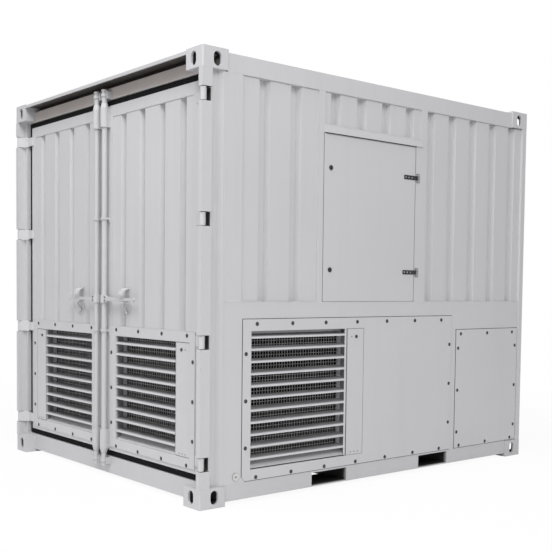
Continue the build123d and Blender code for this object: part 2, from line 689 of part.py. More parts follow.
def door_hinge_straps():
    parts = []
    edge = DOOR_X1 + 40
    for z in HINGE_Z:
        z0, z1 = z - KNUCKLE_H / 2, z + KNUCKLE_H / 2
        y = DOOR_Y0
        blade = [(STRAP_X0, y), (STRAP_X0, y - 5), (STRAP_X0 + 12, y - STRAP_T), (edge, y - STRAP_T), (edge, y)]
        arm = [(edge, y), (edge, y - STRAP_T), (HINGE_X - 10, HINGE_Y - 14)]
        arm += [(HINGE_X + 12, HINGE_Y + 11), (edge + 18, y)]
        body = pz(blade, z0 + 6, z1 - 6) + pz(arm, z0, z1) + cz(HINGE_X, HINGE_Y, KNUCKLE_R, z0, z1)
        body -= cz(HINGE_X, HINGE_Y, PIN_R + RUN, z0 - 1, z1 + 1)
        parts.append(body)
    return solids(parts)


def door_gasket():
    y0, y1 = DOOR_Y0 + 10, DOOR_Y1 - 10
    x1, z0, z1 = HW - 73, SILL_Z1 + 4, HEAD_Z0 - 4
    body = bx(DOOR_X0, x1, y0, y1, z0, z1)
    body -= bx(DOOR_X0 - 1, DOOR_X1, y0 - 1, y1 + 1, DOOR_Z0, DOOR_Z1)
    body += bx(4, DOOR_X0, DOOR_Y0 + 5, DOOR_Y0 + 15, z0, z1)
    return body


def bar_ring(z0, z1, r, foot):
    body = cz(BAR_X, BAR_Y, r, z0, z1)
    body += bx(BAR_X - foot, BAR_X + foot, BAR_Y, DOOR_Y0, z0, z1)
    body -= cz(BAR_X, BAR_Y, BAR_R + RUN, z0 - 1, z1 + 1)
    return body


def bar_sleeve(z, way):
    ends = sorted([z, z + way * SLEEVE_H])
    body = bar_ring(ends[0], ends[1], SLEEVE_R, SLEEVE_R - 3)
    taper = Cone(SLEEVE_R, BAR_R + 3, TAPER_H)
    if way < 0:
        taper = Pos(BAR_X, BAR_Y, z + TAPER_H / 2) * taper
    else:
        taper = Pos(BAR_X, BAR_Y, z - TAPER_H / 2) * Rot(180, 0, 0) * taper
    bore = cz(BAR_X, BAR_Y, BAR_R + RUN, z - TAPER_H - 1, z + TAPER_H + 1)
    return body + (taper - bore)


def handle_retainer():
    y = DOOR_Y0
    hold = bx(276, 340, y - 5, y + 3, 1100, 1252)
    hold += bx(284, 316, y - 44, y - 5, 1148, 1158)
    hood = [(y - 5, 1246), (y - 24, 1243), (y - 42, 1232), (y - 54, 1214), (y - 57, 1200)]
    hood += [(y - 52, 1200), (y - 49, 1212), (y - 39, 1227), (y - 23, 1237), (y - 5, 1240)]
    return hold + px(hood, 270, 330)


def door_bar_fittings():
    parts = [bar_sleeve(DOOR_Z1 - 13, -1), bar_sleeve(DOOR_Z0 + 13, 1)]
    for z in (LVF_Z1 - 30, HANDLE_Z + 525):
        guide = bar_ring(z - 8, z + 8, 24, 20)
        foot = bx(BAR_X - 38, BAR_X + 28, DOOR_Y0 - 5, DOOR_Y0, z - 26, z + 26)
        foot -= cz(BAR_X, BAR_Y, BAR_R + 3, z - 30, z + 30)
        parts.append(guide + foot)
    parts.append(handle_retainer())
    return solids(parts)


def lock_bar():
    body = cz(BAR_X, BAR_Y, BAR_R, BAR_Z0, BAR_Z1)
    body -= cz(BAR_X, BAR_Y, BAR_R - 4, BAR_Z0 + 224, BAR_Z1 - 230)
    for z in CAM_Z:
        cam = cz(BAR_X, BAR_Y, CAM_R, z, z + CAM_T)
        nose = bx(BAR_X - 12, BAR_X + 12, BAR_Y, BAR_Y + CAM_R + 0.5, z, z + CAM_T)
        body += cam + nose
    body += cz(BAR_X, BAR_Y, CAM_R - 2, BAR_Z1 - 10, BAR_Z1)
    body += cz(BAR_X, BAR_Y, CAM_R - 2, BAR_Z0, BAR_Z0 + 10)
    return body


def bar_handle():
    z, y, tip = HANDLE_Z, BAR_Y, HANDLE_TIP
    body = cz(BAR_X, y, 25, z - 26, z + 26)
    body += bx(BAR_X, BAR_X + 46, y - 15, y + 5, z - 20, z + 20)
    pts = [(BAR_X + 40, z - 16), (BAR_X + 90, z - 10), (tip - 40, z - 9), (tip - 8, z - 14), (tip, z)]
    pts += [(tip - 8, z + 14), (tip - 40, z + 9), (BAR_X + 90, z + 10), (BAR_X + 40, z + 16)]
    body += py(pts, y - 11, y + 1)
    body -= cz(BAR_X, y, BAR_R, z - 30, z + 30)
    return body


# ---- build ----
os.makedirs("parts", exist_ok=True)

FIXED = {
    "corner_castings": corner_castings,
    "corner_posts": corner_posts,
    "door_end_rails": door_end_rails,
    "rear_end_rails": rear_end_rails,
    "top_side_rails": top_side_rails,
    "base_rails": base_rails,
    "fork_pockets": fork_pockets,
    "floor_plate": floor_plate,
    "right_wall": right_wall,
    "left_wall": left_wall,
    "rear_wall": rear_wall,
    "roof_panel": roof_panel,
    "roof_exhaust_grille": roof_exhaust_grille,
    "lower_side_frames": lower_side_frames,
    "right_louvre_panel": one_louvre_panel,
    "right_louvre_cover": right_louvre_cover,
    "left_louvre_panel": left_louvre_panel,
    "side_louvre_blades": side_louvre_blades,
    "side_louvre_screens": side_louvre_screens,
    "right_access_panel": right_access_panel,
    "control_door_frame": control_door_frame,
    "control_door": control_door,
    "control_hinges": control_hinges,
    "control_door_straps": control_door_straps,
    "control_cabinet": control_cabinet,
    "control_panel": control_panel,
    "hinge_pins": hinge_pins,
    "cam_keepers": cam_keepers,
    "earth_boss": earth_boss,
    "air_duct": air_duct,
    "fan_shroud": fan_shroud,
    "fan_motor": fan_motor,
    "fan_impeller": fan_impeller,
    "resistor_trays": resistor_trays,
    "resistor_elements": resistor_elements,
    "load_busbars": load_busbars,
}

DOOR = {
    "door_frame": door_frame,
    "door_panel": door_panel,
    "door_louvre_frame": door_louvre_frame,
    "door_louvre_cover": door_louvre_cover,
    "door_louvre_blades": door_louvre_blades,
    "door_louvre_screen": door_louvre_screen,
    "door_hinge_straps": door_hinge_straps,
    "door_gasket": door_gasket,
    "door_bar_fittings": door_bar_fittings,
    "lock_bar": lock_bar,
    "bar_handle": bar_handle,
}

for name, make in FIXED.items():
    export_step(make(), "parts/" + name + ".step")

for index, z in enumerate(LATCH_Z):
    export_step(control_latch(z), "parts/control_latch_" + ("lower", "upper")[index] + ".step")

for name, make in DOOR.items():
    shape = make()
    export_step(shape, "parts/right_" + name + ".step")
    export_step(flip(shape), "parts/left_" + name + ".step")
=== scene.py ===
import json
import math

import bpy
import numpy as np
from mathutils import Matrix, Vector


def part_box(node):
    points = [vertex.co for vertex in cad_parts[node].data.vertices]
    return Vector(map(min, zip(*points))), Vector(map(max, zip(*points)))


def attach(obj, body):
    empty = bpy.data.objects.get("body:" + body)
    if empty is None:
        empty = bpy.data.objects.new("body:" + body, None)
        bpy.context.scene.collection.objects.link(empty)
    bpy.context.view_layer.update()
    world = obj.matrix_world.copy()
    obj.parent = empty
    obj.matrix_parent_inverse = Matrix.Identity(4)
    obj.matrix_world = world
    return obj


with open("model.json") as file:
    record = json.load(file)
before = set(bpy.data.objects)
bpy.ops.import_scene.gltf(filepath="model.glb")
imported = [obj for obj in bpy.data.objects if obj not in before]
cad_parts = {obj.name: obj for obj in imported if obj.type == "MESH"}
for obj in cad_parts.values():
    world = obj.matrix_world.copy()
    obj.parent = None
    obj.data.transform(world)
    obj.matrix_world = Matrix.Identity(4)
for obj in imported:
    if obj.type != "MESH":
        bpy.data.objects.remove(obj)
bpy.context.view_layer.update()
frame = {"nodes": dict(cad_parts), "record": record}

bl_info = {
    "name": "Generator load bank dressing",
    "version": (1, 0, 0),
    "blender": (4, 5, 0),
    "location": "View3D > Sidebar > Load bank",
    "description": "Finishes, fasteners, wire screens and studio for the packed load bank",
    "category": "Object",
}

NODES = frame["nodes"]
DOORS = ("right", "left")
MM = 0.001
CASTING = (162, 178, 118)     # corner casting across, along and up, in mm
ACCESS_PITCH = 0.301          # spacing of the access panel's bolts
DOOR_COLUMN_PITCH = 0.231     # spacing of bolts up a door louvre frame
CATCH_X = 0.308               # each handle catch, sideways from the middle of the doors
FLOOR_REACH = 60.0            # half width of the studio floor


def span(node):
    """Lowest and highest corner of a CAD node as numpy arrays."""
    low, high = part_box(node)
    return np.array(low, dtype=float), np.array(high, dtype=float)


# ---------------------------------------------------------------- sizes and colours

class PaintColours(bpy.types.PropertyGroup):
    wall: bpy.props.FloatVectorProperty(
        name="Wall paint", description="Light grey gloss paint of the walls",
        subtype="COLOR", size=3, min=0, max=1, default=(0.60, 0.598, 0.612))
    gear: bpy.props.FloatVectorProperty(
        name="Gear paint", description="Same paint on lock bars, handles and keepers",
        subtype="COLOR", size=3, min=0, max=1, default=(0.57, 0.568, 0.575))
    motor: bpy.props.FloatVectorProperty(
        name="Motor paint", description="Dark blue grey machinery enamel",
        subtype="COLOR", size=3, min=0, max=1, default=(0.10, 0.13, 0.17))
    rubber: bpy.props.FloatVectorProperty(
        name="Door seal", description="Black rubber of the door gaskets",
        subtype="COLOR", size=3, min=0, max=1, default=(0.012, 0.012, 0.013))
    bolt: bpy.props.FloatVectorProperty(
        name="Bolt black", description="Blackened steel of the panel bolts",
        subtype="COLOR", size=3, min=0, max=1, default=(0.045, 0.045, 0.048))


class FastenerSizes(bpy.types.PropertyGroup):
    washer_radius: bpy.props.FloatProperty(
        name="Washer radius", description="Outer radius of the bolt's washer face",
        unit="LENGTH", default=0.0124)
    head_radius: bpy.props.FloatProperty(
        name="Head radius", description="Radius of the domed bolt head",
        unit="LENGTH", default=0.0092)
    head_height: bpy.props.FloatProperty(
        name="Head height", description="Height of the bolt head over the panel",
        unit="LENGTH", default=0.0039)
    side_pitch: bpy.props.FloatProperty(
        name="Side bolt pitch", description="Spacing of bolts along the long louvre panel",
        unit="LENGTH", default=0.274)
    door_pitch: bpy.props.FloatProperty(
        name="Door bolt pitch", description="Spacing of bolts along a door louvre frame",
        unit="LENGTH", default=0.272)
    column_pitch: bpy.props.FloatProperty(
        name="Column bolt pitch", description="Spacing of bolts up the panel sides",
        unit="LENGTH", default=0.276)


class ScreenSizes(bpy.types.PropertyGroup):
    mesh_pitch: bpy.props.FloatProperty(
        name="Mesh pitch", description="Centre distance of the screen wires",
        unit="LENGTH", default=0.0215)
    wire: bpy.props.FloatProperty(
        name="Wire", description="Thickness of a screen wire", unit="LENGTH", default=0.0031)


class StudioValues(bpy.types.PropertyGroup):
    lens: bpy.props.FloatProperty(
        name="Lens", description="Focal length in millimetres", default=59.71)
    azimuth: bpy.props.FloatProperty(
        name="Azimuth", description="Camera angle round the object, from the door end",
        subtype="ANGLE", default=math.radians(50.30))
    elevation: bpy.props.FloatProperty(
        name="Elevation", description="Camera angle over the horizon",
        subtype="ANGLE", default=math.radians(2.88))
    roll: bpy.props.FloatProperty(
        name="Roll", description="Camera turn about its own axis",
        subtype="ANGLE", default=math.radians(0.65))
    place: bpy.props.FloatVectorProperty(
        name="Camera place", description="Where the camera stands",
        subtype="TRANSLATION", size=3, default=(5.405, -4.422, 1.262))
    shift: bpy.props.FloatVectorProperty(
        name="Shift", description="Sideways and upward shift of the view",
        size=2, default=(-0.001, 0.104))
    key: bpy.props.FloatProperty(
        name="Key light", description="Power of the light over the control side", unit="POWER",
        default=285.0)
    door: bpy.props.FloatProperty(
        name="Door light", description="Power of the light high over the door end", unit="POWER",
        default=415.0)
    top: bpy.props.FloatProperty(
        name="Top light", description="Power of the light over the roof", unit="POWER", default=15.0)
    sky: bpy.props.FloatProperty(
        name="Sky", description="Strength of the even studio light", default=0.42)


# ---------------------------------------------------------------- meshes by numpy

def put(name, verts, faces, body, slot, smooth=False):
    """A mesh object at the origin from whole arrays of vertices and faces, riding a CAD body."""
    mesh = bpy.data.meshes.new(name)
    mesh.from_pydata(np.asarray(verts).tolist(), [], [list(f) for f in faces])
    if smooth:
        mesh.polygons.foreach_set("use_smooth", np.ones(len(mesh.polygons), dtype=bool))
    mesh.update()
    obj = bpy.data.objects.new(name, mesh)
    bpy.context.collection.objects.link(obj)
    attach(obj, body)
    return obj


def ring_quads(rings, sides, first=0):
    """Quads from each ring of vertices to the next: (i, next i) and the same pair one ring on."""
    i = np.arange(rings - 1)[:, None] * sides + first
    j = np.arange(sides)
    k = (j + 1) % sides
    return np.stack([i + j, i + k, i + k + sides, i + j + sides], axis=-1).reshape(-1, 4)


def lathe(profile, sides):
    """Surface of revolution about +Z: point (r cos a, r sin a, z) for each profile (r, z).
    The profile starts and ends on the axis, and each end is one pole vertex."""
    profile = np.asarray(profile, dtype=float)
    ring = profile[1:-1]
    a = np.arange(sides) * 2 * np.pi / sides
    x = ring[:, 0, None] * np.cos(a)
    y = ring[:, 0, None] * np.sin(a)
    z = np.broadcast_to(ring[:, 1, None], x.shape)
    body = np.stack([x, y, z], axis=-1).reshape(-1, 3)
    verts = np.vstack([[0, 0, profile[0, 1]], body, [0, 0, profile[-1, 1]]])
    quads = ring_quads(len(ring), sides, 1)
    j = np.arange(sides)
    k = (j + 1) % sides
    last = len(verts) - 1
    first = np.stack([np.zeros(sides, int), 1 + k, 1 + j], axis=-1)
    base = last - sides
    final = np.stack([np.full(sides, last), base + j, base + k], axis=-1)
    return verts, list(map(tuple, quads)) + list(map(tuple, first)) + list(map(tuple, final))


def facing(verts, axis):
    """Turns a shape drawn along +Z so that it points along the given unit axis."""
    turn = Vector((0, 0, 1)).rotation_difference(Vector(axis)).to_matrix()
    return np.asarray(verts) @ np.array(turn).T


def repeat(verts, faces, places):
    """The same shape at every place: vertex + place, and face index + place number * count."""
    verts = np.asarray(verts)
    places = np.asarray(places, dtype=float)
    every = (verts[None] + places[:, None]).reshape(-1, 3)
    step = len(verts)
    out = [tuple(i + n * step for i in f) for n in range(len(places)) for f in faces]
    return every, out


def bars(low, high):
    """Boxes between matching rows of low and high corners, eight corners and six faces each."""
    low, high = np.asarray(low, float), np.asarray(high, float)
    pick = np.array([[0, 0, 0], [1, 0, 0], [1, 1, 0], [0, 1, 0],
                     [0, 0, 1], [1, 0, 1], [1, 1, 1], [0, 1, 1]])
    verts = np.where(pick[None] == 1, high[:, None], low[:, None]).reshape(-1, 3)
    one = np.array([[0, 3, 2, 1], [4, 5, 6, 7], [0, 1, 5, 4],
                    [1, 2, 6, 5], [2, 3, 7, 6], [3, 0, 4, 7]])
    faces = (one[None] + 8 * np.arange(len(low))[:, None, None]).reshape(-1, 4)
    return verts, faces


def prism(outline, start, end, order):
    """A closed outline of (u, v) drawn from start to end: rows of (w, u, v), put in x, y, z order."""
    outline = np.asarray(outline, float)
    count = len(outline)
    ends = [np.column_stack([np.full(count, w), outline]) for w in (start, end)]
    verts = np.vstack(ends)[:, order]
    k = np.arange(count)
    n = (k + 1) % count
    walls = [tuple(map(int, f)) for f in np.stack([k, n, n + count, k + count], -1)]
    caps = [tuple(range(count))[::-1], tuple(range(count, 2 * count))]
    return verts, walls + caps


def tube(path, radius, sides):
    """A round tube along a path: point + radius (n cos a + b sin a), with flat fans as end caps."""
    path = np.asarray(path, float)
    along = np.gradient(path, axis=0)
    along /= np.linalg.norm(along, axis=1)[:, None]
    up = np.array([0.31, 0.52, 0.80])
    n = np.cross(along, up)
    n /= np.linalg.norm(n, axis=1)[:, None]
    b = np.cross(along, n)
    a = np.arange(sides) * 2 * np.pi / sides
    ring = path[:, None] + radius * (n[:, None] * np.cos(a)[:, None] + b[:, None] * np.sin(a)[:, None])
    verts = np.vstack([ring.reshape(-1, 3), path[:1], path[-1:]])
    quads = ring_quads(len(path), sides)
    j = np.arange(sides)
    k = (j + 1) % sides
    start, end = len(verts) - 2, len(verts) - 1
    tail = (len(path) - 1) * sides
    faces = list(map(tuple, quads)) + [(start, int(q), int(p)) for p, q in zip(j, k)]
    return verts, faces + [(end, int(tail + p), int(tail + q)) for p, q in zip(j, k)]


def join(shapes):
    """Several vertex and face lists as one."""
    verts, faces, count = [], [], 0
    for v, f in shapes:
        verts.append(np.asarray(v))
        faces += [tuple(int(i) + count for i in one) for one in f]
        count += len(v)
    return np.vstack(verts), faces


def dome_bolt(sizes):
    """Profile of a flange bolt: flat washer rim, short wall, then a quarter-ellipse dome."""
    a = np.linspace(0, np.pi / 2, 5)
    rim = 0.25 * sizes.head_height
    dome_r = sizes.head_radius * np.cos(a)
    dome_z = rim + (sizes.head_height - rim) * (0.35 + 0.65 * np.sin(a))
    points = [(0, 0), (sizes.washer_radius, 0), (sizes.washer_radius, rim),
              (sizes.head_radius, rim * 1.2)]
    points += list(zip(dome_r[:-1], dome_z[:-1])) + [(0, sizes.head_height)]
    return lathe(points, 14)


# ---------------------------------------------------------------- shader maths

class Wire:
    """A shader socket that adds Math nodes when it is used in an expression."""

    def __init__(self, shader, socket):
        self.shader, self.socket = shader, socket

    def _maths(self, operation, a, b=None):
        values = {0: a} if b is None else {0: a, 1: b}
        return self.shader.node("ShaderNodeMath", {"operation": operation}, values)

    def __add__(self, other):
        return self._maths("ADD", self, other)

    def __radd__(self, other):
        return self._maths("ADD", other, self)

    def __sub__(self, other):
        return self._maths("SUBTRACT", self, other)

    def __rsub__(self, other):
        return self._maths("SUBTRACT", other, self)

    def __mul__(self, other):
        return self._maths("MULTIPLY", self, other)

    def __rmul__(self, other):
        return self._maths("MULTIPLY", other, self)

    def under(self, limit):
        """The lesser of this value and another."""
        return self._maths("MINIMUM", self, limit)

    def size(self):
        """The value without its sign."""
        return self._maths("ABSOLUTE", self)

    def clamp(self):
        """The value held between 0 and 1."""
        return self.shader.node("ShaderNodeClamp", {}, {"Value": self})

    def ramp(self, low, high):
        """0 below low, 1 above high and a straight line between."""
        return ((self - low) * (1.0 / (high - low))).clamp()


class Shader:
    """Builds one material's nodes."""

    def __init__(self, name):
        self.material = bpy.data.materials.new(name)
        self.material.use_nodes = True
        self.tree = self.material.node_tree
        self.tree.nodes.clear()
        self.output = self.tree.nodes.new("ShaderNodeOutputMaterial")

    def node(self, kind, settings, inputs, out=0):
        """Adds a node with its settings and inputs, and gives the wire of one output."""
        made = self.tree.nodes.new(kind)
        for key, value in settings.items():
            if key == "stops":
                ramp = made.color_ramp
                for n, (at, colour) in enumerate(value):
                    stop = ramp.elements[n] if n < 2 else ramp.elements.new(at)
                    stop.position, stop.color = at, (*colour, 1)
            else:
                setattr(made, key, value)
        for key, value in inputs.items():
            if isinstance(value, Wire):
                self.tree.links.new(value.socket, made.inputs[key])
            else:
                made.inputs[key].default_value = value
        return Wire(self, made.outputs[out])

    def place(self, stretch=(1, 1, 1)):
        """Object coordinates in metres, stretched along each axis."""
        where = self.node("ShaderNodeTexCoord", {}, {}, "Object")
        return self.node("ShaderNodeMapping", {}, {"Vector": where, "Scale": stretch})

    def along(self, axis):
        """The object coordinate along one axis, in metres."""
        where = self.node("ShaderNodeTexCoord", {}, {}, "Object")
        return self.node("ShaderNodeSeparateXYZ", {}, {0: where}, axis)

    def noise(self, scale, detail=3.0, stretch=(1, 1, 1), rough=0.55):
        return self.node("ShaderNodeTexNoise", {}, {
            "Vector": self.place(stretch), "Scale": scale, "Detail": detail, "Roughness": rough})

    def blend(self, factor, a, b):
        """Colour a where the factor is 0 and colour b where it is 1."""
        return self.node("ShaderNodeMix", {"data_type": "RGBA"}, {0: factor, 6: a, 7: b}, 2)

    def relief(self, height, strength, distance, bevel=None):
        """Surface normal from a height, over edges that are rounded by the bevel where one is given."""
        inputs = {"Strength": strength, "Distance": distance, "Height": height}
        if bevel is not None:
            inputs["Normal"] = self.node("ShaderNodeBevel", {"samples": 4}, {"Radius": bevel})
        return self.node("ShaderNodeBump", {}, inputs)

    def finish(self, values):
        """The finished material, with these values on its one surface shader."""
        shade = self.node("ShaderNodeBsdfPrincipled", {}, values)
        self.tree.links.new(shade.socket, self.output.inputs["Surface"])
        return self.material


def rgba(colour, gain=1.0):
    """A colour made lighter or darker by the gain, with full alpha."""
    return tuple(min(1.0, c * gain) for c in colour) + (1.0,)


def hinge_notches(s):
    """Factor of 1 inside the posts' hinge notches, which are darkened as painted shade: level with a hinge
    and set back from the front.
    """
    pin_half, notch_half, notch_depth = 70 * MM, 40.2 * MM, 80.5 * MM
    front = span("corner_posts")[0][1]
    pin_low, pin_high = span("hinge_pins")
    first, last = float(pin_low[2]) + pin_half, float(pin_high[2]) - pin_half
    rise = s.along(2)
    back = s.along(1) - float(front)
    away = (rise - first).size()
    for share in (1 / 3, 2 / 3, 1):
        away = away.under((rise - (first + (last - first) * share)).size())
    level = 1.0 - away.ramp(notch_half, notch_half + 0.3 * MM)
    inside = 1.0 - back.ramp(notch_depth, notch_depth + 0.5 * MM)
    return level * back.ramp(3 * MM, 12 * MM) * inside


def paint(name, colour, roughness=0.33, coat=0.25, bevel=0.0015, painted_shade=None):
    """Sprayed gloss enamel: faint clouding and run-off streaks, orange peel and rounded edges.
    Where a painted shade factor is given, the paint is darkened to near black as painted shade as far as
    that factor says."""
    s = Shader(name)
    cloud = s.noise(1.7, 4.0)
    streak = s.noise(9.0, 3.0, (1, 1, 0.06))
    grime = (streak.ramp(0.52, 0.80) * 0.35 + cloud.ramp(0.35, 0.75) * 0.30).clamp()
    base = s.blend(grime, rgba(colour, 1.02), rgba(colour, 0.93))
    # painted shade: the paint turns near black where the factor says
    if painted_shade:
        base = s.blend(painted_shade(s), base, (0.07, 0.067, 0.064, 1))
    peel = s.noise(240.0, 2.0)
    wave = s.noise(2.3, 1.0)
    relief = s.relief(wave * 1.6 + peel * 0.05, 0.35, 1.2 * MM, bevel)
    return s.finish({
        "Base Color": base, "Roughness": streak * 0.10 + (roughness - 0.05), "Normal": relief,
        "Coat Weight": coat, "Coat Roughness": 0.18})


def casting_finish(name, colour):
    """Casting enamel, with the pockets inside the hollow blocks in dark unpainted scale, made near black as
    painted shade.
    A point is in a pocket when it is a wall's thickness or more inside all six block faces."""
    s = Shader(name)
    low, high = span("corner_castings")
    inside = None
    for axis in range(3):
        middle, half = (low[axis] + high[axis]) / 2, (high[axis] - low[axis]) / 2
        out = (s.along(axis) - float(middle)).size()
        near = (float(half) - out).under(out - float(half - CASTING[axis] * MM))
        inside = near if inside is None else inside.under(near)
    pocket = inside.ramp(11 * MM, 17 * MM)
    # pocket colour: rusty scale darkened to near black as painted shade
    rust = s.noise(26.0, 5.0)
    scale = s.blend(rust.ramp(0.4, 0.7), (0.010, 0.009, 0.008, 1), (0.030, 0.022, 0.016, 1))
    cloud = s.noise(3.0, 4.0)
    outer = s.blend(cloud.ramp(0.45, 0.8) * 0.6, rgba(colour, 1.02), rgba(colour, 0.90))
    relief = s.relief(s.noise(90.0, 3.0), 0.4, 1.2 * MM, 4 * MM)
    return s.finish({
        "Base Color": s.blend(pocket, outer, scale), "Normal": relief,
        "Roughness": pocket * 0.4 + 0.42, "Coat Weight": 0.1 - pocket * 0.1})


def set_back_finish(name, colour, rear, axis, out, depth, roughness=0.38):
    """Enamel that darkens as painted shade from a front face inwards, by how far a point lies behind the
    front.
    Front is where the piece reaches farthest out along the axis, on either side. The colour starts
    to turn at the first depth and is the rear colour from the second."""
    s = Shader(name)
    back = (float(out) - s.along(axis).size()).ramp(*depth)
    cloud = s.noise(5.0, 4.0)
    front = s.blend(cloud.ramp(0.45, 0.8) * 0.5, rgba(colour, 1.06), rgba(colour, 0.98))
    # the rear colour is painted shade behind the front face
    shade_film = s.blend(cloud.ramp(0.3, 0.75), rgba(rear, 1.1), rgba(rear, 0.8))
    return s.finish({
        "Base Color": s.blend(back, front, shade_film), "Roughness": cloud * 0.1 + (roughness - 0.05),
        "Coat Weight": 0.2 - back * 0.2, "Coat Roughness": 0.18})


def panel_finish(name, colour, device):
    """Pale control plate with dark moulded devices: what stands proud of the plate's face is dark."""
    s = Shader(name)
    device_height = 20 * MM
    plate = float(span("control_panel")[1][0]) - device_height
    proud = s.along(0).ramp(plate + 0.5 * MM, plate + 1.2 * MM)
    cloud = s.noise(8.0, 3.0)
    base = s.blend(cloud.ramp(0.3, 0.7), rgba(colour, 0.96), rgba(colour, 1.03))
    black = s.blend(s.noise(120.0, 2.0).ramp(0.3, 0.7), rgba(device, 0.8), rgba(device, 1.4))
    return s.finish({"Base Color": s.blend(proud, base, black), "Roughness": cloud * 0.1 + 0.38})


def header_finish(name, colour):
    """Wall enamel that turns brown grey where the header lies under its lip, as a dirt tint with painted
    shade.
    The painted shade grows with height over the header's foot and with depth behind the lip, and is almost
    black in the channel at the top, as a painted shadow of the lip. The header's lid is clean."""
    s = Shader(name)
    low, high = span("door_end_rails")
    deep, rise = s.along(1), s.along(2)
    lip, foot, lid = float(low[1]), float(high[2]) - 120 * MM, float(high[2]) - 7 * MM
    shade_film = rise.ramp(foot, foot + 12 * MM) * deep.ramp(lip + 10 * MM, lip + 28 * MM)
    shade_film = shade_film * (1.0 - rise.ramp(lid, lid + 2 * MM))
    cloud = s.noise(3.0, 4.0, (1, 1, 0.4))
    clean = s.blend(cloud.ramp(0.45, 0.8) * 0.5, rgba(colour, 0.96), rgba(colour, 0.88))
    dust_and_shade = s.blend(cloud.ramp(0.35, 0.75), (0.50, 0.46, 0.435, 1), (0.43, 0.395, 0.37, 1))
    # painted shadow of the lip: almost black in the channel at the top
    dust_and_shade = s.blend(rise.ramp(foot + 74 * MM, foot + 90 * MM), dust_and_shade, (0.075, 0.066, 0.060, 1))
    relief = s.relief(s.noise(2.3, 1.0), 0.3, 1 * MM, 1.5 * MM)
    return s.finish({
        "Base Color": s.blend(shade_film, clean, dust_and_shade), "Normal": relief,
        "Roughness": shade_film * 0.3 + 0.33, "Coat Weight": 0.25 - shade_film * 0.25})


def metal(name, colour, roughness=0.35, grain=(1, 1, 1), scale=60.0, spangle=0.0):
    """Bare or zinc-coated steel: grain or spangle in colour and roughness."""
    s = Shader(name)
    fine = s.noise(scale, 4.0, grain)
    cell = s.node("ShaderNodeTexVoronoi", {}, {"Vector": s.place(), "Scale": 70.0})
    tone = (fine.ramp(0.3, 0.7) * (0.5 - spangle * 0.3) + cell * spangle).clamp()
    base = s.blend(tone, rgba(colour, 0.82), rgba(colour, 1.12))
    relief = s.relief(fine, 0.2, 0.3 * MM)
    return s.finish({
        "Base Color": base, "Metallic": 1.0, "Normal": relief,
        "Roughness": fine * 0.18 + (roughness - 0.09)})


def dull(name, colour, roughness=0.6, scale=90.0, shine=0.5):
    """Rubber, plastic or blackened steel: fine mottling in colour, roughness and relief."""
    s = Shader(name)
    fine = s.noise(scale, 4.0)
    base = s.blend(fine.ramp(0.3, 0.75), rgba(colour, 0.8), rgba(colour, 1.5))
    relief = s.relief(fine, 0.25, 0.4 * MM)
    return s.finish({
        "Base Color": base, "Normal": relief, "Roughness": fine * 0.2 + (roughness - 0.1),
        "Specular IOR Level": shine})


def element_finish():
    """Resistor ribbons: brown and blue heat tints in bands along the ribbon."""
    s = Shader("Heat tinted element")
    band = s.noise(6.0, 2.0, (1, 0.2, 0.2))
    tint = s.node("ShaderNodeValToRGB", {"stops": [
        (0.25, (0.20, 0.17, 0.15)), (0.75, (0.34, 0.25, 0.18)), (0.5, (0.20, 0.20, 0.26))]},
        {"Fac": band})
    return s.finish({
        "Base Color": tint, "Metallic": 0.85, "Roughness": band * 0.2 + 0.35})


def rows(first, step, count):
    """Evenly spaced places from the first one on."""
    return first + step * np.arange(count)


# ---------------------------------------------------------------- operators

